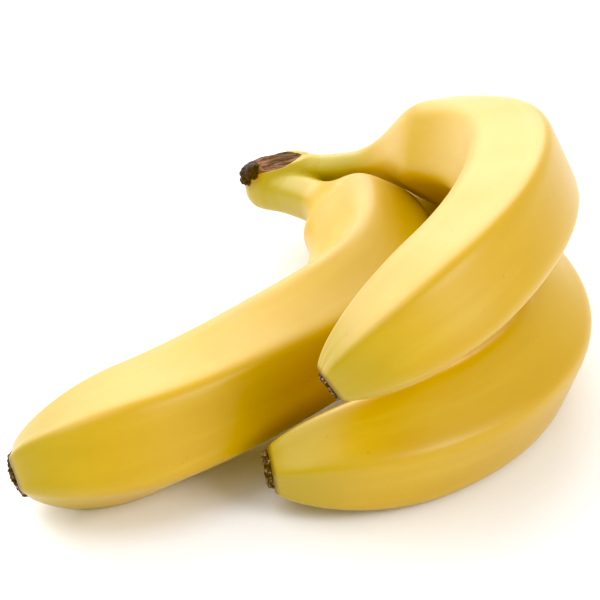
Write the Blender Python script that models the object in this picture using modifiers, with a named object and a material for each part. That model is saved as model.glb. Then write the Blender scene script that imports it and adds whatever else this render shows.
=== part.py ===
"""A bunch of three bananas joined at their crown and lying on a level surface.

Units are metres and degrees, and +Z is up. The bunch rests on z = 0, and the origin is under its middle.
Each banana is a rounded five-sided body swept along its own bend, out of the crown where the stems fuse.
"""

import math
from dataclasses import dataclass

import bmesh
import bpy
import numpy as np
from mathutils import Matrix, Vector

MM = 0.001

# Fits and fineness
GAP = 0.3 * MM
RINGS = 38
RING_CROWDING = 1.3
SIDES = 25
SPINE_STATIONS = 200
LUMP_FINENESS = 3

# The section, which turns from round at the stem to five-sided over RIPENING_LENGTH millimetres.
# The fullness is how far its ridges stand out from its flats, as a share of the mean radius
RIDGES = 5
STEM_ROUNDNESS = 4.0
BODY_ROUNDNESS = 12.0
STEM_FULLNESS = 1.015
BODY_FULLNESS = 1.065
RIPENING_LENGTH = 110.0
TIP_ROUNDING = 0.75

# How soon the set of the stem and the nod of the tip die away, as shares of the length
SET_FADE = 0.09
NOD_FADE = 0.05
LEAN_CENTRE = 0.3

# Where the stems meet. The roots, the lumps, the scar and the knob are measured from it, in millimetres
CROWN_CENTRE = (-9.6, 76.8, 24.0)

# Colours and finishes
SKIN = (0.83, 0.55, 0.05)
STEM_GREEN = (0.62, 0.52, 0.08)
DRIED = (0.07, 0.035, 0.02)
SKIN_ROUGHNESS = 0.45
DRIED_ROUGHNESS = 0.85


@dataclass
class Banana:
    """The driving dimensions of one banana, in millimetres and degrees.

    `bends` is how fast it turns, in degrees over its whole length, at even stations from stem to tip.
    `lean` is how far it leaves its own plane, and `dip` and `skew` set its stem aside near the crown.
    `nod` is how far its tip turns down. `shifts` is how far each ridge stands off an even spacing.
    """

    name: str
    root: tuple
    heading: float
    climb: float
    roll: float
    length: float
    bends: tuple
    lean: float
    dip: float
    skew: float
    nod: float
    girth: float
    stem: float
    stem_length: float
    shoulder: float
    taper: float
    tip: float
    ridge: float
    twist: float
    shifts: tuple
    crust: float
    fused: float


BANANAS = (
    Banana("left_banana", root=(-6.4, 0.0, -2.9), heading=-25, climb=3.15, roll=-1.2, length=217,
           bends=(126, 236, 254, 7, 107, 162), lean=0.085, dip=-0.09, skew=0.23, nod=0.28,
           girth=19.3, stem=7.3, stem_length=22.3, shoulder=31, taper=37, tip=7.6,
           ridge=36, twist=65, shifts=(0, 0, 0, 0, 4), crust=2.2, fused=15),
    Banana("upper_banana", root=(7.1, -1.8, 5.3), heading=-5.6, climb=30, roll=4.8, length=222,
           bends=(90, 173, 195, 134, 171, 107), lean=-0.07, dip=0.41, skew=0.28, nod=0.20,
           girth=17.6, stem=4.8, stem_length=19, shoulder=41, taper=47, tip=5.2,
           ridge=33, twist=26, shifts=(0, 0, 0, 0, 0), crust=1.2, fused=6),
    Banana("lower_banana", root=(0.5, 5.3, -2.3), heading=-8, climb=-2, roll=0.5, length=240.5,
           bends=(118, 151, 198, 215, 153, 76), lean=0.06, dip=0.16, skew=0.11, nod=0.12,
           girth=17.7, stem=6.4, stem_length=27, shoulder=60, taper=48, tip=6.2,
           ridge=20, twist=10, shifts=(0, 0, 0, 0, 0), crust=2.2, fused=11),
)

# The crown is the hull of round lumps at both ends of each fused stem and two at its heel, in millimetres
LUMP_AHEAD = 1.5
LUMP_MARGIN = 1.08
HEEL_LUMPS = (
    ((-8.5, -1.0, 4.0), 5.5),
    ((3.0, 0.0, 6.6), 4.6),
)
SCAR_POINT = (-3.0, -1.0, 7.4)
SCAR_NORMAL = (-0.27, -0.03, 0.95)
KNOB_CENTRE = (-12.8, -5.0, 4.7)
KNOB_RADIUS = 2.8

# A dried blossom end, in tip radii at its foot and its rim, with a worn edge
FOOT_WIDTH = 0.92
RIM_WIDTH = 0.72
WORN_EDGE = 0.7 * MM
WORN_STEPS = 2
BLOSSOM_SIDES = 20

# The block that the resting bananas are pressed flat against
TABLE_WIDTH = 0.6
TABLE_DEPTH = 0.05


def from_crown(offset):
    """A point measured in millimetres from the crown's centre, in metres from the origin."""
    return (np.array(CROWN_CENTRE) + np.array(offset)) * MM


def eased(amount):
    """Smoothly from 0 to 1 while `amount` goes from 0 to 1."""
    amount = np.clip(amount, 0.0, 1.0)
    return amount * amount * (3.0 - 2.0 * amount)


def unit(vectors):
    return vectors / np.linalg.norm(vectors, axis=-1, keepdims=True)


def start_axes(banana):
    """The direction in which a banana leaves the crown, the one it bends towards, and the one across both."""
    heading = math.radians(banana.heading)
    climb = math.radians(banana.climb)
    roll = math.radians(banana.roll)
    level = np.array((math.cos(heading), math.sin(heading), 0.0))
    ahead = level * math.cos(climb) + np.array((0.0, 0.0, math.sin(climb)))
    right = np.array((math.sin(heading), -math.cos(heading), 0.0))
    bend = math.cos(roll) * right + math.sin(roll) * np.cross(right, ahead)
    return ahead, bend, np.cross(ahead, bend)


def spine(banana, along):
    """Points on the middle line, and the directions ahead, out of the bend and across, at each station."""
    ahead, bend, across = start_axes(banana)
    stations = np.linspace(0.0, 1.0, len(banana.bends))
    rate = np.interp(along, stations, np.radians(banana.bends))
    step = np.diff(along)
    turned = np.concatenate(([0.0], np.cumsum((rate[1:] + rate[:-1]) / 2 * step)))[:, None]
    fade = np.exp(-along / SET_FADE)[:, None]
    leaning = banana.lean * (along[:, None] - LEAN_CENTRE) + banana.dip * fade
    nodding = banana.nod * np.exp((along[:, None] - 1.0) / NOD_FADE) * np.array((0.0, 0.0, -1.0))
    course = np.cos(turned) * ahead + (np.sin(turned) + banana.skew * fade) * bend + leaning * across
    course = unit(course + nodding)
    strides = (course[1:] + course[:-1]) / 2 * step[:, None] * banana.length * MM
    middle = from_crown(banana.root) + np.concatenate((np.zeros((1, 3)), np.cumsum(strides, axis=0)))
    outward = np.sin(turned) * ahead - np.cos(turned) * bend
    outward = unit(outward - np.sum(outward * course, axis=1, keepdims=True) * course)
    return middle, course, outward, np.cross(course, outward)


def girth(banana, along):
    """Radius at each station: stem, shoulder, body, then the taper to the blossom end."""
    travelled = along * banana.length
    swollen = eased((travelled - banana.stem_length) / banana.shoulder)
    swelling = banana.stem + (banana.girth - banana.stem) * swollen
    left = np.clip((banana.length - travelled) / banana.taper, 0.0, 1.0)
    rounding = (1.0 - (1.0 - left) ** 2) ** TIP_ROUNDING
    narrowing = banana.tip + (banana.girth - banana.tip) * rounding
    return swelling * narrowing / banana.girth * MM


def ridge_angles(banana, place):
    """The angle of each ridge around the skin at one station, and of the first one again a full turn later."""
    first = math.radians(banana.ridge + banana.twist * (place - 0.5))
    even = np.linspace(0.0, math.tau, RIDGES + 1)
    return first + even + np.radians(banana.shifts + banana.shifts[:1])


def flanks(angle, ridges, roundness):
    """Relative radius at `angle` of a rounded five-sided section, with a flat between each two `ridges`."""
    middles = (ridges[1:] + ridges[:-1]) / 2
    spread = (ridges[1:] - ridges[:-1]) / 2
    nearness = math.cos(math.pi / RIDGES) / np.cos(spread)
    reach = np.maximum(np.cos(angle[:, None] - middles), 0.0) * nearness
    return np.sum(reach ** roundness, axis=1) ** (-1.0 / roundness)


def skin_rings(banana):
    """Rings of points around the banana, with one point of each ring on every ridge."""
    along = 1.0 - (1.0 - np.linspace(0.0, 1.0, RINGS)) ** RING_CROWDING
    middle, _, outward, across = spine(banana, along)
    radius = girth(banana, along)
    ripening = eased((along * banana.length - banana.stem_length / 2) / RIPENING_LENGTH)
    rings = []
    for station, place in enumerate(along):
        ridges = ridge_angles(banana, place)
        angle = np.interp(np.arange(SIDES) / SIDES * RIDGES, np.arange(RIDGES + 1), ridges)
        roundness = STEM_ROUNDNESS + (BODY_ROUNDNESS - STEM_ROUNDNESS) * ripening[station]
        fullness = STEM_FULLNESS + (BODY_FULLNESS - STEM_FULLNESS) * ripening[station]
        reach = radius[station] * flanks(angle, ridges, roundness) / fullness
        offset = np.cos(angle)[:, None] * outward[station] + np.sin(angle)[:, None] * across[station]
        rings.append(middle[station] + reach[:, None] * offset)
    return rings


def loft(shape, rings):
    """Joins rings of points into one closed body with a flat cap at each end."""
    loops = [[shape.verts.new(point) for point in ring] for ring in rings]
    for lower, upper in zip(loops, loops[1:]):
        for side in range(SIDES):
            beside = (side + 1) % SIDES
            shape.faces.new((lower[side], lower[beside], upper[beside], upper[side]))
    shape.faces.new(reversed(loops[0]))
    shape.faces.new(loops[-1])
    bmesh.ops.recalc_face_normals(shape, faces=shape.faces[:])


def crown_lumps():
    """Centre and radius of each round lump that the crown is drawn around."""
    for banana in BANANAS:
        middle, *_ = spine(banana, np.array((0.0, LUMP_AHEAD, banana.fused)) / banana.length)
        for centre in middle[1:]:
            yield Vector(centre), banana.stem * LUMP_MARGIN * MM
    for centre, radius in HEEL_LUMPS:
        yield Vector(from_crown(centre)), radius * MM


def crown_hull(shape, growth=0.0):
    """The crown: a hull around its lumps, cut off along the scar. `growth` makes it larger all round."""
    balls = bmesh.new()
    for centre, radius in crown_lumps():
        bmesh.ops.create_icosphere(
            balls, subdivisions=LUMP_FINENESS, radius=radius + growth, matrix=Matrix.Translation(centre)
        )
    for vertex in balls.verts:
        shape.verts.new(vertex.co)
    balls.free()
    hull = bmesh.ops.convex_hull(shape, input=shape.verts[:])
    inside = [item for item in hull["geom_interior"] if isinstance(item, bmesh.types.BMVert)]
    bmesh.ops.delete(shape, geom=inside, context="VERTS")
    normal = Vector(SCAR_NORMAL).normalized()
    cut = bmesh.ops.bisect_plane(
        shape,
        geom=shape.verts[:] + shape.edges[:] + shape.faces[:],
        plane_co=Vector(from_crown(SCAR_POINT)) + normal * growth,
        plane_no=normal,
        clear_outer=True,
    )
    rim = [item for item in cut["geom_cut"] if isinstance(item, bmesh.types.BMEdge)]
    bmesh.ops.contextual_create(shape, geom=rim)
    bmesh.ops.recalc_face_normals(shape, faces=shape.faces[:])


def add_object(name, shape, collection):
    """Puts a finished shape in the scene under `name`."""
    mesh = bpy.data.meshes.new(name)
    shape.to_mesh(mesh)
    shape.free()
    made = bpy.data.objects.new(name, mesh)
    collection.objects.link(made)
    return made


def smooth(made, sharp_above=40.0):
    made.data.shade_smooth()
    made.data.set_sharp_from_angle(angle=math.radians(sharp_above))


def paint(made, colour, roughness):
    """Gives the object its own material."""
    material = bpy.data.materials.new(made.name)
    material.use_nodes = True
    shader = material.node_tree.nodes["Principled BSDF"]
    shader.inputs["Base Color"].default_value = (*colour, 1.0)
    shader.inputs["Roughness"].default_value = roughness
    made.data.materials.append(material)


def boolean(made, other, operation):
    modifier = made.modifiers.new(f"{operation.lower()} {other.name}", "BOOLEAN")
    modifier.operation = operation
    modifier.object = other
    modifier.solver = "EXACT"


def hide(helper):
    helper.hide_render = True
    helper.display_type = "WIRE"
    return helper


def make_table(cutters):
    """A block whose top is z = 0. It flattens the skin where the bunch presses on the surface."""
    shape = bmesh.new()
    bmesh.ops.create_cube(shape, size=1.0)
    bmesh.ops.scale(shape, vec=(TABLE_WIDTH, TABLE_WIDTH, TABLE_DEPTH), verts=shape.verts[:])
    bmesh.ops.translate(shape, vec=(0.0, 0.0, -TABLE_DEPTH / 2), verts=shape.verts[:])
    return hide(add_object("table", shape, cutters))


def make_crown(bunch, cutters):
    shape = bmesh.new()
    crown_hull(shape)
    crown = add_object("crown", shape, bunch)
    knob_shape = bmesh.new()
    bmesh.ops.create_icosphere(
        knob_shape, subdivisions=LUMP_FINENESS - 1, radius=KNOB_RADIUS * MM,
        matrix=Matrix.Translation(Vector(from_crown(KNOB_CENTRE))),
    )
    knob = hide(add_object("knob", knob_shape, cutters))
    boolean(crown, knob, "UNION")
    paint(crown, STEM_GREEN, SKIN_ROUGHNESS)
    smooth(crown)
    return crown


def make_crown_clearance(cutters):
    """The crown with its gap, which is cut out of each stem."""
    shape = bmesh.new()
    crown_hull(shape, growth=GAP)
    return hide(add_object("crown_clearance", shape, cutters))


def make_banana(banana, bunch, crown_clearance, table):
    shape = bmesh.new()
    loft(shape, skin_rings(banana))
    made = add_object(banana.name, shape, bunch)
    boolean(made, crown_clearance, "DIFFERENCE")
    lowest = min(vertex.co.z for vertex in made.data.vertices)
    if lowest < 0.0:
        boolean(made, table, "DIFFERENCE")
    paint(made, SKIN, SKIN_ROUGHNESS)
    smooth(made)
    return made


def make_blossom_end(banana, bunch):
    """The dried stub that the flower leaves on the tip of a banana."""
    middle, course, _, _ = spine(banana, np.linspace(0.0, 1.0, SPINE_STATIONS))
    length = banana.crust * MM
    shape = bmesh.new()
    bmesh.ops.create_cone(
        shape, cap_ends=True, segments=BLOSSOM_SIDES,
        radius1=banana.tip * FOOT_WIDTH * MM, radius2=banana.tip * RIM_WIDTH * MM, depth=length,
    )
    made = add_object(banana.name.replace("banana", "blossom_end"), shape, bunch)
    ahead = Vector(course[-1])
    made.location = Vector(middle[-1]) + ahead * (GAP + length / 2)
    made.rotation_euler = ahead.to_track_quat("Z", "Y").to_euler()
    edge = made.modifiers.new("worn edge", "BEVEL")
    edge.width = WORN_EDGE
    edge.segments = WORN_STEPS
    paint(made, DRIED, DRIED_ROUGHNESS)
    smooth(made)
    return made


def clear_scene():
    for old in list(bpy.data.objects):
        bpy.data.objects.remove(old, do_unlink=True)


def add_collection(name):
    made = bpy.data.collections.new(name)
    bpy.context.scene.collection.children.link(made)
    return made


def main():
    clear_scene()
    bunch = add_collection("banana_bunch")
    cutters = add_collection("cutters")
    table = make_table(cutters)
    crown_clearance = make_crown_clearance(cutters)
    make_crown(bunch, cutters)
    for banana in BANANAS:
        make_banana(banana, bunch, crown_clearance, table)
        make_blossom_end(banana, bunch)


main()
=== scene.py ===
"""Looks for a bunch of three bananas lying on its side: peel, crown and dried blossom ends.

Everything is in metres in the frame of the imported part: +Z is up and the bunch rests on z = 0.
The bananas are swept from the same driving dimensions as the part, with the unevenness of grown fruit added.
"""

import math
from dataclasses import dataclass

import bmesh
import bpy
import numpy as np
from mathutils import Matrix, Vector
from mathutils.kdtree import KDTree


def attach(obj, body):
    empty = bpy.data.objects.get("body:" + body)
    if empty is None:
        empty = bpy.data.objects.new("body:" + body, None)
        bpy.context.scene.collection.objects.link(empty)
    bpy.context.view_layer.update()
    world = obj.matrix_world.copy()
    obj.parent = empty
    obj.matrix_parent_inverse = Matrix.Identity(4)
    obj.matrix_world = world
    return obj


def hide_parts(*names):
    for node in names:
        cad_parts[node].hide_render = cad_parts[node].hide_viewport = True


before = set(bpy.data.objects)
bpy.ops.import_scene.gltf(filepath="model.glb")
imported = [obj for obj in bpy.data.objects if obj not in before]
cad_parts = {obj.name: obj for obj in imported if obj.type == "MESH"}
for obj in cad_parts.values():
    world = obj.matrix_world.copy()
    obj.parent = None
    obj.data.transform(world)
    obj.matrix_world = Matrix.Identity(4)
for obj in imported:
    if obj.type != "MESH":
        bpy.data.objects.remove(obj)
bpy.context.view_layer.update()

MM = 0.001

# Fineness of the skin, the crown and the crusts
SKIN_RINGS = 300
SKIN_SIDES = 180
RING_CROWDING = 1.25
SLEEVE_RINGS = 50
SLEEVE_SIDES = 60
MATCH_RINGS = 60
MATCH_SIDES = 90
CROWN_VOXEL = 0.45 * MM
CROWN_SMOOTHING = 10
SMOOTHING_STEP = 0.6
LUMP_FINENESS = 3
CRUST_RINGS = 56
CRUST_SIDES = 120
TIP_STATIONS = 400

# The section and the line of a banana
RIDGES = 5
STEM_ROUNDNESS = 4.0
BODY_ROUNDNESS = 12.0
STEM_FULLNESS = 1.015
BODY_FULLNESS = 1.065
RIPENING_LENGTH = 110.0
TIP_ROUNDING = 0.75
SET_FADE = 0.09
NOD_FADE = 0.05
LEAN_CENTRE = 0.3

# Relief of the skin, as shares of its radius, and lengths in millimetres.
# Each swell is waves along, waves around and height, and each pucker is folds around and height
SKIN_LEVEL = 0.9745
SHOULDER_FILLING = 0.040
SHOULDER_PLACE = 0.7
FILLING_LENGTH = 18.0
SWELL_STRENGTH = 0.40
SWELLS = ((1.3, 1, 0.010), (2.6, 2, 0.007), (4.3, 1, 0.005), (6.1, 3, 0.003))
PUCKERS = ((6, 0.014), (11, 0.010), (17, 0.006))
PUCKER_LENGTH = 4.5
RIDGE_WIDTH = 2.2

# Random relief, summed from bowed waves in octaves that each halve its size
OCTAVES = 4
OCTAVE_WEIGHT = 0.55
WAVES_EACH = 5
WAVE_SUM = 3.5
WAVE_BOW = 0.6
BOW_PACE = 0.7

# A dried blossom end, from the skin outwards, over the rim and into the middle:
# distance from the axis in tip radii, and height in crust lengths
CRUST_PROFILE = ((0.84, -0.45), (0.92, -0.10), (0.94, 0.15), (0.88, 0.52), (0.80, 0.75), (0.68, 0.80),
                 (0.54, 0.64), (0.42, 0.42), (0.26, 0.46), (0.10, 0.60), (0.02, 0.62))
# Its ragged edge, as points around, depth in its own radii and how far the seed turns it
CRUST_LEVEL = 0.93
TATTERS = ((4, 0.04, 1), (9, 0.03, 2), (17, 0.03, 1))
CRUST_LUMP = 2.2
CRUST_LIFT = 0.36
CRUST_FOOT = 0.12
CRUST_RISE = 0.2
LIFT_AHEAD = 0.8
LIFT_ASIDE = 0.6

# Where the stems meet. The roots, the lumps, the scar and the knob are measured from it, in millimetres.
# The crown is a hull around round lumps, which reaches WEB_SHARE of the way along the fused stems
CROWN_CENTRE = (-9.6, 76.8, 24.0)
LUMP_AHEAD = 1.5
LUMP_MARGIN = 1.08
WEB_SHARE = 0.3
HULL_SHARE = 0.98
HEEL_LUMPS = (
    ((-8.5, -1.0, 4.0), 5.5),
    ((3.0, 0.0, 6.6), 4.6),
)

# The crown's skin runs out along each stem as a sleeve, which starts proud of the skin and ends under it
SLEEVE_LENGTH = 9.0
SLEEVE_START = 0.45
SLEEVE_END = -0.35
MATCH_LENGTH = 14.0

# The cut scar with its fibres, the charred knob at its left end and the thorn at its right end
SCAR_POINT = (-3.0, -1.0, 7.4)
SCAR_NORMAL = (-0.27, -0.03, 0.95)
KNOB_CENTRE = (-12.8, -5.0, 4.7)
KNOB_RADIUS = 2.8
KNOB_LOBES = (
    ((0.0, 0.0, 0.4), 0.72),
    ((-0.2, -0.6, -2.2), 0.60),
    ((1.9, -1.4, 0.8), 0.66),
    ((2.6, -0.2, 2.6), 0.60),
)
KNOB_SPREAD = 5.0
KNOB_LUMP = 1.8
KNOB_ROUGHNESS = 0.45
CHARRED_FROM = 0.6
CHARRED_OVER = 0.25
ROUGH_OVER = 0.2
THORN = (7.4, -0.6, 9.2)
THORN_RADIUS = 0.8
THORN_SPREAD = 2.5
SCAR_END = 10.0
SCAR_TAPER = 11.0
SCAR_WIDTH = 8.0
SCAR_POINTEDNESS = 0.7
SCAR_RIM = 1.2
SCAR_ABOVE = 0.5
SCAR_FADE = 0.7
SCAR_DEPTH = 0.35
FIBRE_SIZE = 2.4
FIBRE_HEIGHT = 0.55
FIBRE_STRETCH = 0.22
FIBRE_FLATNESS = 0.3


@dataclass
class Banana:
    """The driving dimensions of one banana, in millimetres and degrees, and the seed of its unevenness."""

    name: str
    root: tuple
    heading: float
    climb: float
    roll: float
    length: float
    bends: tuple
    lean: float
    dip: float
    skew: float
    nod: float
    girth: float
    stem: float
    stem_length: float
    shoulder: float
    taper: float
    tip: float
    ridge: float
    twist: float
    shifts: tuple
    crust: float
    fused: float
    seed: int


BANANAS = (
    Banana("left_banana", root=(-6.4, 0.0, -2.9), heading=-25, climb=3.15, roll=-1.2, length=217,
           bends=(126, 236, 254, 7, 107, 162), lean=0.085, dip=-0.09, skew=0.23, nod=0.28,
           girth=19.3, stem=7.3, stem_length=22.3, shoulder=31, taper=37, tip=7.6,
           ridge=36, twist=65, shifts=(0, 0, 0, 0, 4), crust=2.2, fused=15, seed=3),
    Banana("upper_banana", root=(7.1, -1.8, 5.3), heading=-5.6, climb=30, roll=4.8, length=222,
           bends=(90, 173, 195, 134, 171, 107), lean=-0.07, dip=0.41, skew=0.28, nod=0.20,
           girth=17.6, stem=4.8, stem_length=19, shoulder=41, taper=47, tip=5.2,
           ridge=33, twist=26, shifts=(0, 0, 0, 0, 0), crust=1.2, fused=6, seed=8),
    Banana("lower_banana", root=(0.5, 5.3, -2.3), heading=-8, climb=-2, roll=0.5, length=240.5,
           bends=(118, 151, 198, 215, 153, 76), lean=0.06, dip=0.16, skew=0.11, nod=0.12,
           girth=17.7, stem=6.4, stem_length=27, shoulder=60, taper=48, tip=6.2,
           ridge=20, twist=10, shifts=(0, 0, 0, 0, 0), crust=2.2, fused=11, seed=14),
)


# ---------------------------------------------------------------- shape of a banana

def eased(amount):
    """Smoothly from 0 to 1 while `amount` goes from 0 to 1."""
    amount = np.clip(amount, 0.0, 1.0)
    return amount * amount * (3.0 - 2.0 * amount)


def unit(vectors):
    return vectors / np.linalg.norm(vectors, axis=-1, keepdims=True)


def from_crown(offset):
    """A point measured in millimetres from the crown's centre, in metres from the origin."""
    return (np.array(CROWN_CENTRE) + np.array(offset)) * MM


def start_axes(banana):
    """The direction in which a banana leaves the crown, the one it bends towards, and the one across both."""
    heading = math.radians(banana.heading)
    climb = math.radians(banana.climb)
    roll = math.radians(banana.roll)
    level = np.array((math.cos(heading), math.sin(heading), 0.0))
    ahead = level * math.cos(climb) + np.array((0.0, 0.0, math.sin(climb)))
    right = np.array((math.sin(heading), -math.cos(heading), 0.0))
    bend = math.cos(roll) * right + math.sin(roll) * np.cross(right, ahead)
    return ahead, bend, np.cross(ahead, bend)


def spine(banana, along):
    """Points on the middle line, and the directions ahead, out of the bend and across, at each station."""
    ahead, bend, across = start_axes(banana)
    stations = np.linspace(0.0, 1.0, len(banana.bends))
    rate = np.interp(along, stations, np.radians(banana.bends))
    step = np.diff(along)
    turned = np.concatenate(([0.0], np.cumsum((rate[1:] + rate[:-1]) / 2 * step)))[:, None]
    fade = np.exp(-along / SET_FADE)[:, None]
    leaning = banana.lean * (along[:, None] - LEAN_CENTRE) + banana.dip * fade
    nodding = banana.nod * np.exp((along[:, None] - 1.0) / NOD_FADE) * np.array((0.0, 0.0, -1.0))
    course = np.cos(turned) * ahead + (np.sin(turned) + banana.skew * fade) * bend + leaning * across
    course = unit(course + nodding)
    strides = (course[1:] + course[:-1]) / 2 * step[:, None] * banana.length * MM
    middle = from_crown(banana.root) + np.concatenate((np.zeros((1, 3)), np.cumsum(strides, axis=0)))
    outward = np.sin(turned) * ahead - np.cos(turned) * bend
    outward = unit(outward - np.sum(outward * course, axis=1, keepdims=True) * course)
    return middle, course, outward, np.cross(course, outward)


def girth(banana, along):
    """Radius at each station: stem, shoulder, body, then the taper to the blossom end."""
    travelled = along * banana.length
    swollen = eased((travelled - banana.stem_length) / banana.shoulder)
    swelling = banana.stem + (banana.girth - banana.stem) * swollen
    left = np.clip((banana.length - travelled) / banana.taper, 0.0, 1.0)
    rounding = (1.0 - (1.0 - left) ** 2) ** TIP_ROUNDING
    narrowing = banana.tip + (banana.girth - banana.tip) * rounding
    return swelling * narrowing / banana.girth * MM


def unevenness(banana, along, angle):
    """A gentle random swell and hollow of the skin, as a share of its radius."""
    chance = np.random.default_rng(banana.seed)
    swell = np.zeros((len(along), len(angle)))
    for waves_along, waves_around, height in SWELLS:
        phase = chance.uniform(0, math.tau)
        turn = chance.uniform(0, math.tau)
        lengthwise = np.sin(math.tau * waves_along * along + phase)[:, None]
        swell += height * lengthwise * np.cos(waves_around * angle + turn)[None, :]
    return swell


def ridge_angles(banana, along):
    """The angle of each ridge around the skin at each station."""
    first = np.radians(banana.ridge + banana.twist * (along - 0.5))
    return first[:, None] + np.arange(RIDGES) * math.tau / RIDGES + np.radians(banana.shifts)


def section(angle, ridges, roundness):
    """Relative radius of a rounded five-sided section, with flats between neighbouring ridges."""
    following = np.roll(ridges, -1)
    following[-1] += math.tau
    flats = (ridges + following) / 2
    spread = (following - ridges) / 2
    depth = np.cos(spread) / math.cos(math.pi / RIDGES)
    reach = np.maximum(np.cos(angle[:, None] - flats), 0.0) / depth
    return np.sum(reach ** roundness, axis=1) ** (-1.0 / roundness)


def nearness_to_ridge(angle, ridges, reach):
    """1 on a ridge, falling to 0 a few millimetres beside it."""
    apart = np.abs((angle[:, None] - ridges + math.pi) % math.tau - math.pi).min(axis=1)
    return np.exp(-((apart * reach / (RIDGE_WIDTH * MM)) ** 2))


def puckers(banana, along, angle):
    """Fine folds of the skin where it gathers into the blossom end."""
    chance = np.random.default_rng(banana.seed + 2)
    left = (1.0 - along) * banana.length
    gather = np.exp(-left / PUCKER_LENGTH)[:, None]
    folds = np.zeros(len(angle))
    for count, height in PUCKERS:
        folds += height * np.cos(count * angle + chance.uniform(0, math.tau))
    return gather * folds[None, :]


def relief(banana, along, angle):
    """How far the skin stands out at each point, as a share of its radius."""
    shoulder = banana.stem_length + banana.shoulder * SHOULDER_PLACE
    filling = np.exp(-((along * banana.length - shoulder) / FILLING_LENGTH) ** 2)[:, None]
    level = SKIN_LEVEL + SHOULDER_FILLING * filling
    return level + SWELL_STRENGTH * unevenness(banana, along, angle) + puckers(banana, along, angle)


def skin_sheet(banana, rings, sides, last=1.0):
    """The skin as a sheet of points, rings by sides, with what the peel's finish needs at each point."""
    along = 1.0 - (1.0 - np.linspace(0.0, last, rings)) ** RING_CROWDING
    middle, _, outward, across = spine(banana, along)
    radius = girth(banana, along)
    ripening = eased((along * banana.length - banana.stem_length / 2) / RIPENING_LENGTH)
    angle = np.arange(sides) * math.tau / sides
    ridges = ridge_angles(banana, along)
    standing = relief(banana, along, angle)
    points = np.zeros((rings, sides, 3))
    straight = np.zeros((rings, sides, 3))
    ridge = np.zeros((rings, sides))
    for ring in range(rings):
        roundness = STEM_ROUNDNESS + (BODY_ROUNDNESS - STEM_ROUNDNESS) * ripening[ring]
        fullness = STEM_FULLNESS + (BODY_FULLNESS - STEM_FULLNESS) * ripening[ring]
        reach = radius[ring] * section(angle, ridges[ring], roundness) / fullness * standing[ring]
        offset = np.cos(angle)[:, None] * outward[ring] + np.sin(angle)[:, None] * across[ring]
        points[ring] = middle[ring] + reach[:, None] * offset
        straight[ring, :, 0] = reach * np.cos(angle)
        straight[ring, :, 1] = reach * np.sin(angle)
        straight[ring, :, 2] = along[ring] * banana.length * MM
        ridge[ring] = nearness_to_ridge(angle, ridges[ring], radius[ring])
    points[:, :, 2] = np.maximum(points[:, :, 2], 0.0)
    return points, {"straight": straight, "ridge": ridge, "along": np.repeat(along[:, None], sides, axis=1)}


# ---------------------------------------------------------------- meshes

def sheet_faces(rings, sides):
    """Quads of a sheet that closes around, and a cap at both ends."""
    ring, side = np.meshgrid(np.arange(rings - 1), np.arange(sides), indexing="ij")
    beside = (side + 1) % sides
    quads = np.stack((ring * sides + side, ring * sides + beside,
                      (ring + 1) * sides + beside, (ring + 1) * sides + side), axis=-1)
    caps = [tuple(reversed(range(sides))), tuple(range((rings - 1) * sides, rings * sides))]
    return quads.reshape(-1, 4).tolist() + caps


def add_mesh(name, points, faces, attributes=None):
    """A smooth-shaded object from points and faces, with its point attributes."""
    mesh = bpy.data.meshes.new(name)
    mesh.from_pydata(points.reshape(-1, 3).tolist(), [], faces)
    for label, values in (attributes or {}).items():
        store(mesh, label, values)
    turned_out = bmesh.new()
    turned_out.from_mesh(mesh)
    bmesh.ops.recalc_face_normals(turned_out, faces=turned_out.faces[:])
    turned_out.to_mesh(mesh)
    turned_out.free()
    mesh.shade_smooth()
    made = bpy.data.objects.new(name, mesh)
    bpy.context.scene.collection.objects.link(made)
    return made


def store(mesh, label, values):
    values = np.asarray(values, np.float32)
    if values.size == 3 * len(mesh.vertices):
        layer = mesh.attributes.new(label, "FLOAT_VECTOR", "POINT")
        layer.data.foreach_set("vector", values.ravel())
    else:
        layer = mesh.attributes.new(label, "FLOAT", "POINT")
        layer.data.foreach_set("value", values.ravel())


def fractal(points, size, seed):
    """Smooth random heights between about -1 and 1 at `points`, with detail down from `size` metres."""
    chance = np.random.default_rng(seed)
    total = np.zeros(len(points))
    weight = 1.0
    for _ in range(OCTAVES):
        for _ in range(WAVES_EACH):
            direction = unit(chance.normal(size=3))
            bow = unit(chance.normal(size=3))
            phase = chance.uniform(0, math.tau)
            wave = points @ direction / size + WAVE_BOW * np.sin(points @ bow / size * BOW_PACE + phase)
            total += weight * np.sin(wave * math.tau + phase) / WAVE_SUM
        weight *= OCTAVE_WEIGHT
        size *= 0.5
    return total


def voxel_skin(made, voxel):
    """Replaces the object's mesh by one even skin around all its bodies."""
    remesh = made.modifiers.new("one skin", "REMESH")
    remesh.mode = "VOXEL"
    remesh.voxel_size = voxel
    remesh.use_smooth_shade = True
    evaluated = made.evaluated_get(bpy.context.evaluated_depsgraph_get())
    skin = bpy.data.meshes.new_from_object(evaluated)
    made.modifiers.clear()
    made.data = skin


def coordinates(mesh):
    points = np.zeros(len(mesh.vertices) * 3, np.float32)
    mesh.vertices.foreach_get("co", points)
    return points.reshape(-1, 3).astype(float)


def set_coordinates(mesh, points):
    mesh.vertices.foreach_set("co", points.astype(np.float32).ravel())
    mesh.update()


def relaxed(points, edges):
    """Smooths the points by moving each one towards the middle of its neighbours, a few times over."""
    count = np.bincount(edges.ravel(), minlength=len(points))[:, None]
    for _ in range(CROWN_SMOOTHING):
        gathered = np.zeros_like(points)
        np.add.at(gathered, edges[:, 0], points[edges[:, 1]])
        np.add.at(gathered, edges[:, 1], points[edges[:, 0]])
        step = gathered / count - points
        points = points + step * SMOOTHING_STEP
    return points


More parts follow.
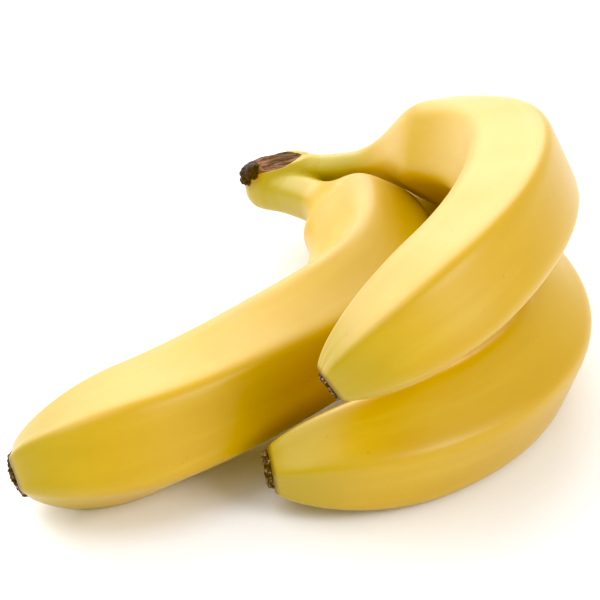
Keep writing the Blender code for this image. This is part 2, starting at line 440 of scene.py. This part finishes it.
def edge_pairs(mesh):
    pairs = np.zeros(len(mesh.edges) * 2, np.int32)
    mesh.edges.foreach_get("vertices", pairs)
    return pairs.reshape(-1, 2)


def make_skin(banana):
    points, attributes = skin_sheet(banana, SKIN_RINGS, SKIN_SIDES)
    return add_mesh(f"{banana.name}_peel", points, sheet_faces(SKIN_RINGS, SKIN_SIDES), attributes)


def make_crust(banana):
    """The dried stub on the tip: a lumpy rim around a sunken, flaky middle."""
    middle, course, outward, across = spine(banana, np.linspace(0.0, 1.0, TIP_STATIONS))
    profile = np.array(CRUST_PROFILE)
    stations = np.linspace(0, 1, len(profile))
    way = np.linspace(0, 1, CRUST_RINGS)
    distance = np.interp(way, stations, profile[:, 0]) * banana.tip * MM
    height = np.interp(way, stations, profile[:, 1]) * banana.crust * MM
    angle = np.arange(CRUST_SIDES) * math.tau / CRUST_SIDES
    around = np.cos(angle)[:, None] * outward[-1] + np.sin(angle)[:, None] * across[-1]
    tatters = np.full(CRUST_SIDES, CRUST_LEVEL)
    for count, depth, turn in TATTERS:
        tatters += depth * np.cos(count * angle + turn * banana.seed)
    reach = distance[:, None] * tatters
    points = middle[-1] + height[:, None, None] * course[-1] + reach[:, :, None] * around
    points = points.reshape(-1, 3)
    lumps = fractal(points, CRUST_LUMP * MM, banana.seed)
    rim = np.repeat(eased((way - CRUST_FOOT) / CRUST_RISE), CRUST_SIDES)
    radial = np.tile(around, (CRUST_RINGS, 1))
    lift = (CRUST_LIFT * lumps * rim)[:, None] * MM
    points = points + lift * (LIFT_AHEAD * course[-1] + LIFT_ASIDE * radial)
    name = banana.name.replace("banana", "crust")
    return add_mesh(name, points, sheet_faces(CRUST_RINGS, CRUST_SIDES), {"relief": lumps})


# ---------------------------------------------------------------- crown

def crown_lumps():
    """Centre and radius of each round lump that the crown is drawn around."""
    for banana in BANANAS:
        middle, *_ = spine(banana, np.array((0.0, LUMP_AHEAD, banana.fused * WEB_SHARE)) / banana.length)
        for centre in middle[1:]:
            yield Vector(centre), banana.stem * LUMP_MARGIN * MM
    for centre, radius in HEEL_LUMPS:
        yield Vector(from_crown(centre)), radius * MM


def scar_axes():
    """The scar's point, its normal, its long direction and the one across it."""
    normal = Vector(SCAR_NORMAL).normalized()
    lengthwise = (Vector((1.0, 0.0, 0.0)) - normal * normal.x).normalized()
    axes = (normal, lengthwise, normal.cross(lengthwise))
    return from_crown(SCAR_POINT), *(np.array(axis) for axis in axes)


def stem_sleeve(shape, banana):
    """The start of a stem: a hair outside the skin at the crown, and inside it where the crown's skin ends."""
    reach = (banana.fused + SLEEVE_LENGTH) / banana.length
    last = 1.0 - (1.0 - reach) ** (1 / RING_CROWDING)
    points, _ = skin_sheet(banana, SLEEVE_RINGS, SLEEVE_SIDES, last)
    away = unit(points - points.mean(axis=1, keepdims=True))
    points = points + away * np.linspace(SLEEVE_START, SLEEVE_END, SLEEVE_RINGS)[:, None, None] * MM
    verts = [shape.verts.new(point) for point in points.reshape(-1, 3)]
    for face in sheet_faces(SLEEVE_RINGS, SLEEVE_SIDES):
        shape.faces.new([verts[index] for index in face])


def add_ball(shape, centre, radius):
    place = Matrix.Translation(centre)
    bmesh.ops.create_icosphere(shape, subdivisions=LUMP_FINENESS, radius=radius, matrix=place)


def crown_body(shape):
    """Adds the hull around the crown's lumps, a little smaller than they are."""
    balls = bmesh.new()
    for centre, radius in crown_lumps():
        add_ball(balls, centre, radius * HULL_SHARE)
    body = bmesh.new()
    for vertex in balls.verts:
        body.verts.new(vertex.co)
    balls.free()
    hull = bmesh.ops.convex_hull(body, input=body.verts[:])
    inside = [item for item in hull["geom_interior"] if isinstance(item, bmesh.types.BMVert)]
    bmesh.ops.delete(body, geom=inside, context="VERTS")
    mesh = bpy.data.meshes.new("crown body")
    body.to_mesh(mesh)
    body.free()
    shape.from_mesh(mesh)
    bpy.data.meshes.remove(mesh)


def make_crown():
    """The fused stems with the cut scar on top and the black knob at its left end."""
    shape = bmesh.new()
    crown_body(shape)
    for banana in BANANAS:
        stem_sleeve(shape, banana)
    knob = Vector(from_crown(KNOB_CENTRE))
    for shift, size in KNOB_LOBES:
        add_ball(shape, knob + Vector(shift) * MM, KNOB_RADIUS * size * MM)
    bmesh.ops.recalc_face_normals(shape, faces=shape.faces[:])
    mesh = bpy.data.meshes.new("crown_peel")
    shape.to_mesh(mesh)
    shape.free()
    crown = bpy.data.objects.new("crown_peel", mesh)
    bpy.context.scene.collection.objects.link(crown)
    voxel_skin(crown, CROWN_VOXEL)
    points = relaxed(coordinates(crown.data), edge_pairs(crown.data))
    points, scar, char = cut_scar(points)
    set_coordinates(crown.data, points)
    finish_attributes(crown.data, points)
    store(crown.data, "scar", scar)
    store(crown.data, "char", char)
    crown.data.shade_smooth()
    return crown


def cut_scar(points):
    """Cuts the crown off along the scar and roughens the cut and the knob."""
    origin, normal, lengthwise, crosswise = scar_axes()
    height = (points - origin) @ normal
    scar = eased((height + SCAR_ABOVE * MM) / (SCAR_FADE * MM))
    length = (points - origin) @ lengthwise
    depth = (points - origin) @ crosswise
    stretched = np.stack((length * FIBRE_STRETCH, depth, height * FIBRE_FLATNESS), axis=1)
    fibres = fractal(stretched, FIBRE_SIZE * MM, seed=5)
    left = np.clip((SCAR_END - length / MM) / SCAR_TAPER, 0.0, 1.0)
    half_width = SCAR_WIDTH * left ** SCAR_POINTEDNESS
    scar = scar * eased((half_width - np.abs(depth / MM)) / SCAR_RIM)
    level = np.minimum(height, 0.0) + scar * (FIBRE_HEIGHT * fibres - SCAR_DEPTH) * MM
    char = nearness_to_knob(points)
    lumps = fractal(points, KNOB_LUMP * MM, seed=9)
    uncharred = 1.0 - eased((char - CHARRED_FROM) / CHARRED_OVER)
    points = points + (level - height)[:, None] * normal * uncharred[:, None]
    rough = eased((char - CHARRED_FROM) / ROUGH_OVER) * KNOB_ROUGHNESS * lumps * MM
    points = points + rough[:, None] * unit(points - from_crown(KNOB_CENTRE))
    return points, scar, char


def nearness_to_knob(points):
    """1 on the knob and on the thorn at the scar's other end, falling to 0 a few millimetres away."""
    nearness = np.zeros(len(points))
    for shift, size in KNOB_LOBES:
        centre = from_crown(KNOB_CENTRE) + np.array(shift) * MM
        away = np.linalg.norm(points - centre, axis=1) - KNOB_RADIUS * size * MM
        nearness = np.maximum(nearness, 1.0 - np.clip(away / (KNOB_SPREAD * MM), 0.0, 1.0))
    away = np.linalg.norm(points - from_crown(THORN), axis=1) - THORN_RADIUS * MM
    return np.maximum(nearness, 1.0 - np.clip(away / (THORN_SPREAD * MM), 0.0, 1.0))


def finish_attributes(mesh, points):
    """Gives the crown's skin the same finish values as the nearest point of the bananas' skins."""
    gathered = {"straight": [], "ridge": [], "along": []}
    nearby = []
    for banana in BANANAS:
        reach = (banana.fused + MATCH_LENGTH) / banana.length
        sheet, values = skin_sheet(banana, MATCH_RINGS, MATCH_SIDES, reach)
        nearby.append(sheet.reshape(-1, 3))
        for label, kept in gathered.items():
            kept.append(values[label].reshape(len(nearby[-1]), -1))
    nearby = np.concatenate(nearby)
    tree = KDTree(len(nearby))
    for index, point in enumerate(nearby):
        tree.insert(point, index)
    tree.balance()
    nearest = np.array([tree.find(point)[1] for point in points])
    for label, kept in gathered.items():
        store(mesh, label, np.concatenate(kept)[nearest])


# ---------------------------------------------------------------- finishes

def srgb(red, green, blue):
    """A colour given as it looks on screen, 0 to 255, as the linear values that a shader takes."""
    def linear(value):
        value /= 255
        return value / 12.92 if value <= 0.04045 else ((value + 0.055) / 1.055) ** 2.4
    return (linear(red), linear(green), linear(blue), 1.0)


class Wire:
    """A socket of a finish, with arithmetic: each operation on it adds a Math node."""

    def __init__(self, finish, socket):
        self.finish = finish
        self.socket = socket

    def math(self, operation, *values, clamp=False):
        settings = {"operation": operation, "use_clamp": clamp}
        return self.finish.add("ShaderNodeMath", settings, dict(enumerate(values)))

    def __add__(self, other):
        return self.math("ADD", self, other)

    def __sub__(self, other):
        return self.math("SUBTRACT", self, other)

    def __rsub__(self, other):
        return self.math("SUBTRACT", other, self)

    def __mul__(self, other):
        return self.math("MULTIPLY", self, other)

    __radd__ = __add__
    __rmul__ = __mul__

    def clamped(self):
        return self.math("ADD", self, 0.0, clamp=True)


class Finish:
    """A material whose nodes are added in code."""

    def __init__(self, name):
        self.material = bpy.data.materials.new(name)
        self.material.use_nodes = True
        self.tree = self.material.node_tree
        self.tree.nodes.clear()

    def add(self, kind, settings=None, sockets=None, output=0):
        """Adds a node: its settings first, then a value or a wire for each socket, by name or number."""
        node = self.tree.nodes.new(kind)
        for name, value in (settings or {}).items():
            if name == "stops":
                self.set_stops(node.color_ramp, value)
            else:
                setattr(node, name, value)
        for name, value in (sockets or {}).items():
            if isinstance(value, Wire):
                self.tree.links.new(value.socket, node.inputs[name])
            else:
                node.inputs[name].default_value = value
        return Wire(self, node.outputs[output]) if len(node.outputs) else None

    @staticmethod
    def set_stops(ramp, stops):
        while len(ramp.elements) < len(stops):
            ramp.elements.new(1.0)
        for element, (position, colour) in zip(ramp.elements, stops):
            element.position = position
            element.color = colour

    def attribute(self, name, output="Fac"):
        return self.add("ShaderNodeAttribute", {"attribute_name": name}, output=output)

    def noise(self, place, scale, detail=3.0, roughness=0.5, stretch=(1.0, 1.0, 1.0)):
        """Smooth noise from 0 to 1, with `scale` patches in a metre, each drawn out by `stretch`."""
        vector = self.add("ShaderNodeVectorMath", {"operation": "MULTIPLY"},
                          {0: place, 1: tuple(1.0 / amount for amount in stretch)})
        return self.add("ShaderNodeTexNoise", {}, {"Vector": vector, "Scale": scale, "Detail": detail,
                                                   "Roughness": roughness})

    def band(self, value, low, high):
        """0 below `low`, 1 above `high` and smooth between them. With low above high it falls instead."""
        rising = low < high
        return self.add("ShaderNodeMapRange", {"interpolation_type": "SMOOTHSTEP"},
                        {"Value": value, "From Min": min(low, high), "From Max": max(low, high),
                         "To Min": 0.0 if rising else 1.0, "To Max": 1.0 if rising else 0.0})

    def blend(self, share, first, second):
        """The first colour, giving way to the second as `share` goes from 0 to 1."""
        return self.add("ShaderNodeMix", {"data_type": "RGBA"}, {0: share, 6: first, 7: second}, output=2)

    def bump(self, height, distance, strength=1.0, under=None):
        sockets = {"Height": height, "Distance": distance, "Strength": strength}
        if under is not None:
            sockets["Normal"] = under
        return self.add("ShaderNodeBump", {}, sockets)

    def surface(self, sockets):
        shader = self.add("ShaderNodeBsdfPrincipled", {}, sockets)
        self.add("ShaderNodeOutputMaterial", {}, {"Surface": shader})
        return self.material


# Colours of the peel
RIPE = srgb(200, 160, 20)
DEEP = srgb(194, 150, 10)
PALE = srgb(206, 172, 44)
STEM = srgb(178, 160, 38)
TIP_GREEN = srgb(168, 150, 8)
FRECKLE = srgb(150, 96, 24)
SCORCHED = srgb(92, 54, 20)
MUSTARD = srgb(178, 134, 8)

# Patterns of the peel: patches in a metre, and how far each one is drawn out along the banana
CLOUDS = {"scale": 38, "detail": 3, "stretch": (1, 1, 2.5)}
STREAKS = {"scale": 170, "detail": 4, "stretch": (1, 1, 12)}
SPECKLED = {"scale": 90, "detail": 1}
BLOOM = {"scale": 60, "detail": 4}
FIBRES = {"scale": 900, "detail": 2, "stretch": (1, 1, 18)}
PORES = {"scale": 1500, "detail": 2}
DENTS = {"scale": 120, "detail": 2, "stretch": (1, 1, 3)}
SPECKS_PER_METRE = 260.0

# Patterns of the cut scar, the knob and the crusts
RAGGED = {"scale": 900, "detail": 3}
CUT_FIBRES = {"scale": 520, "detail": 4, "roughness": 0.65, "stretch": (5, 1, 1)}
CHARRED = {"scale": 900, "detail": 4, "roughness": 0.6}
FLAKES = {"scale": 1400, "detail": 5, "roughness": 0.7}

# Where each pattern starts and is full, and how much of its colour shows there
DEEPENED = (0.35, 0.70)
STREAKED = (0.45, 0.75)
STREAK_SHARE = 0.40
RIDGE_SHARE = 0.22
SPECKED_AREAS = (0.58, 0.66)
SPECK_EDGE = (0.16, 0.06)
SPECK_SHARE = 0.25

# Where along the banana its ends change colour, in shares of its length, and how much of the colour shows
WANDER = 0.10
GREEN_STEM = (0.16, 0.06)
GREEN_STEM_SHARE = 0.85
GREEN_TIP = (0.88, 0.99)
GREEN_TIP_SHARE = 0.55
SCORCHED_TIP = (0.994, 1.0)
SCORCHED_TIP_SHARE = 0.8


def peel_colour(finish, straight, along, ridge):
    """Ripe yellow with faint lengthwise streaks, greener at the stem and the tip, and a few small freckles."""
    clouds = finish.noise(straight, **CLOUDS)
    streaks = finish.noise(straight, **STREAKS)
    colour = finish.blend(finish.band(clouds, *DEEPENED), RIPE, DEEP)
    colour = finish.blend(finish.band(streaks, *STREAKED) * STREAK_SHARE, colour, PALE)
    colour = finish.blend(ridge * RIDGE_SHARE, colour, DEEP)
    place = along + (clouds - 0.5) * WANDER
    colour = finish.blend(finish.band(place, *GREEN_STEM) * GREEN_STEM_SHARE, colour, STEM)
    colour = finish.blend(finish.band(place, *GREEN_TIP) * GREEN_TIP_SHARE, colour, TIP_GREEN)
    specks = finish.add("ShaderNodeTexVoronoi", {"feature": "F1"},
                        {"Vector": straight, "Scale": SPECKS_PER_METRE})
    scarce = finish.band(finish.noise(straight, **SPECKLED), *SPECKED_AREAS)
    colour = finish.blend(finish.band(specks, *SPECK_EDGE) * scarce * SPECK_SHARE, colour, FRECKLE)
    return finish.blend(finish.band(along, *SCORCHED_TIP) * SCORCHED_TIP_SHARE, colour, SCORCHED)


def peel_relief(finish, straight):
    """Fine fibres and pores over shallow dents."""
    fibres = finish.noise(straight, **FIBRES)
    pores = finish.noise(straight, **PORES)
    dents = finish.noise(straight, **DENTS)
    fine = finish.bump(fibres * 0.6 + pores * 0.4, 0.06 * MM, 0.5)
    return finish.bump(dents, 0.35 * MM, 0.6, under=fine)


PEEL_SHEEN = {
    "Specular IOR Level": 0.5,
    "Coat Roughness": 0.35,
    "Sheen Weight": 0.08,
    "Sheen Roughness": 0.5,
    "Subsurface Weight": 0.06,
    "Subsurface Radius": (1.0, 0.7, 0.2),
    "Subsurface Scale": 2.0 * MM,
}


def peel_finish():
    finish = Finish("peel")
    straight = finish.attribute("straight", "Vector")
    along = finish.attribute("along")
    ridge = finish.attribute("ridge")
    bloom = finish.noise(straight, **BLOOM)
    return finish.surface({
        "Base Color": peel_colour(finish, straight, along, ridge),
        "Roughness": 0.42 + bloom * 0.16,
        "Coat Weight": 0.50 - bloom * 0.20,
        "Normal": peel_relief(finish, straight),
        **PEEL_SHEEN,
    })


def crown_finish():
    """Peel that gives way to the dry fibrous scar and the black knob."""
    finish = Finish("crown")
    straight = finish.attribute("straight", "Vector")
    along = finish.attribute("along")
    ridge = finish.attribute("ridge")
    place = finish.add("ShaderNodeTexCoord", {}, output="Object")
    ragged = finish.noise(place, **RAGGED) - 0.5
    cut_edge = finish.attribute("scar") + ragged * 0.5
    scar = finish.band(cut_edge, 0.20, 0.35)
    knob = finish.attribute("char") + ragged * 0.25
    char = finish.band(knob, 0.80, 0.92)
    fibres = finish.noise(place, **CUT_FIBRES)
    cut = finish.add("ShaderNodeValToRGB", {"stops": (
        (0.36, srgb(52, 32, 24)),
        (0.50, srgb(98, 62, 46)),
        (0.62, srgb(142, 96, 72)),
        (0.80, srgb(192, 146, 116)),
    )}, {0: fibres})
    burnt = finish.add("ShaderNodeValToRGB", {"stops": (
        (0.35, srgb(30, 17, 26)),
        (0.55, srgb(62, 38, 44)),
        (0.75, srgb(104, 70, 72)),
    )}, {0: finish.noise(place, **CHARRED)})
    colour = peel_colour(finish, straight, along, ridge)
    colour = finish.blend(finish.band(knob, 0.30, 0.80) * 0.8, colour, MUSTARD)
    dried_cut = finish.blend(finish.band(cut_edge, 0.45, 0.80), SCORCHED, cut)
    colour = finish.blend(scar, colour, dried_cut)
    colour = finish.blend(char, colour, burnt)
    dry = (scar + char).clamped()
    rough = finish.bump(fibres, 0.30 * MM, 0.8, under=peel_relief(finish, straight))
    return finish.surface({
        "Base Color": colour,
        "Roughness": 0.50 + dry * 0.35,
        "Coat Weight": 0.15 - dry * 0.15,
        "Normal": rough,
        **PEEL_SHEEN,
    })


def crust_finish():
    """Dry, dark brown crust with paler flakes on its high spots."""
    finish = Finish("dried blossom")
    place = finish.add("ShaderNodeTexCoord", {}, output="Object")
    flakes = finish.noise(place, **FLAKES)
    height = finish.attribute("relief")
    mottled = (flakes + height * 0.10).clamped()
    colour = finish.add("ShaderNodeValToRGB", {"stops": (
        (0.34, srgb(30, 20, 18)),
        (0.50, srgb(74, 50, 42)),
        (0.60, srgb(130, 98, 84)),
        (0.74, srgb(206, 184, 170)),
    )}, {0: mottled})
    return finish.surface({
        "Base Color": colour,
        "Roughness": 0.70 + flakes * 0.2,
        "Normal": finish.bump(flakes, 0.35 * MM, 0.9),
        "Specular IOR Level": 0.3,
    })


# ---------------------------------------------------------------- stage

CAMERA_RISE = 32.73
CAMERA_DISTANCE = 0.6706
AIM = (-0.0038, 0.0394, -0.001)
LENS = 121.17
SENSOR = 36.0
NEAREST_SEEN = 0.01

ROOM_COLOUR = (1.0, 0.99, 0.97, 1.0)
ROOM_STRENGTH = 0.66
# Each softbox faces the middle of the bunch: its name, place, size and power
SOFTBOXES = (
    ("backdrop", (-0.36, 0.90, 0.72), (1.9, 0.9), 21.0),
    ("overhead", (-0.55, -0.15, 1.0), (0.7, 0.7), 4.0),
    ("right fill", (0.85, -0.55, 0.75), (0.6, 0.6), 7.0),
)
FLOOR_REACH = 3.0
FLOOR_GRAIN = {"scale": 30, "detail": 2}
FLOOR_DULL = (0.94, 0.94, 0.94, 1.0)
FLOOR_BRIGHT = (0.96, 0.96, 0.96, 1.0)

# The levels shown as black. Raising the last two deepens the shades of yellow
SHOWN_AS_BLACK = (0.0, 0.004, 0.035)


def place_camera():
    rise = math.radians(CAMERA_RISE)
    back = Vector((0.0, -math.cos(rise), math.sin(rise)))
    data = bpy.data.cameras.new("camera")
    data.lens = LENS
    data.sensor_width = SENSOR
    data.clip_start = NEAREST_SEEN
    camera = bpy.data.objects.new("camera", data)
    camera.location = Vector(AIM) + back * CAMERA_DISTANCE
    camera.rotation_euler = back.to_track_quat("Z", "Y").to_euler()
    bpy.context.scene.collection.objects.link(camera)
    bpy.context.scene.camera = camera


def softbox(name, location, size, power):
    data = bpy.data.lights.new(name, "AREA")
    data.shape = "RECTANGLE"
    data.size, data.size_y = size
    data.energy = power
    lamp = bpy.data.objects.new(name, data)
    lamp.location = location
    lamp.rotation_euler = Vector(location).to_track_quat("Z", "Y").to_euler()
    bpy.context.scene.collection.objects.link(lamp)


def light_stage():
    world = bpy.data.worlds.new("studio")
    world.use_nodes = True
    room = world.node_tree.nodes["Background"]
    room.inputs["Color"].default_value = ROOM_COLOUR
    room.inputs["Strength"].default_value = ROOM_STRENGTH
    bpy.context.scene.world = world
    for box in SOFTBOXES:
        softbox(*box)


def lay_floor():
    shape = bmesh.new()
    bmesh.ops.create_grid(shape, x_segments=1, y_segments=1, size=FLOOR_REACH)
    mesh = bpy.data.meshes.new("floor")
    shape.to_mesh(mesh)
    shape.free()
    floor = bpy.data.objects.new("floor", mesh)
    bpy.context.scene.collection.objects.link(floor)
    finish = Finish("white table")
    place = finish.add("ShaderNodeTexCoord", {}, output="Object")
    grain = finish.noise(place, **FLOOR_GRAIN)
    floor.data.materials.append(finish.surface({
        "Base Color": finish.blend(grain, FLOOR_DULL, FLOOR_BRIGHT),
        "Roughness": 0.7,
        "Specular IOR Level": 0.2,
    }))


def fit(piece, material, node):
    """Gives a piece its finish, hangs it under the root body and hides the solid of the part that it replaces.
    """
    piece.data.materials.clear()
    piece.data.materials.append(material)
    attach(piece, "root")
    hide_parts(node)


place_camera()
light_stage()
lay_floor()

peel = peel_finish()
dried = crust_finish()
for banana in BANANAS:
    fit(make_skin(banana), peel, banana.name)
    fit(make_crust(banana), dried, banana.name.replace("banana", "blossom_end"))
fit(make_crown(), crown_finish(), "crown")

look = bpy.context.scene.view_settings
look.view_transform = "Standard"
look.use_curve_mapping = True
look.curve_mapping.black_level = SHOWN_AS_BLACK
look.curve_mapping.update()
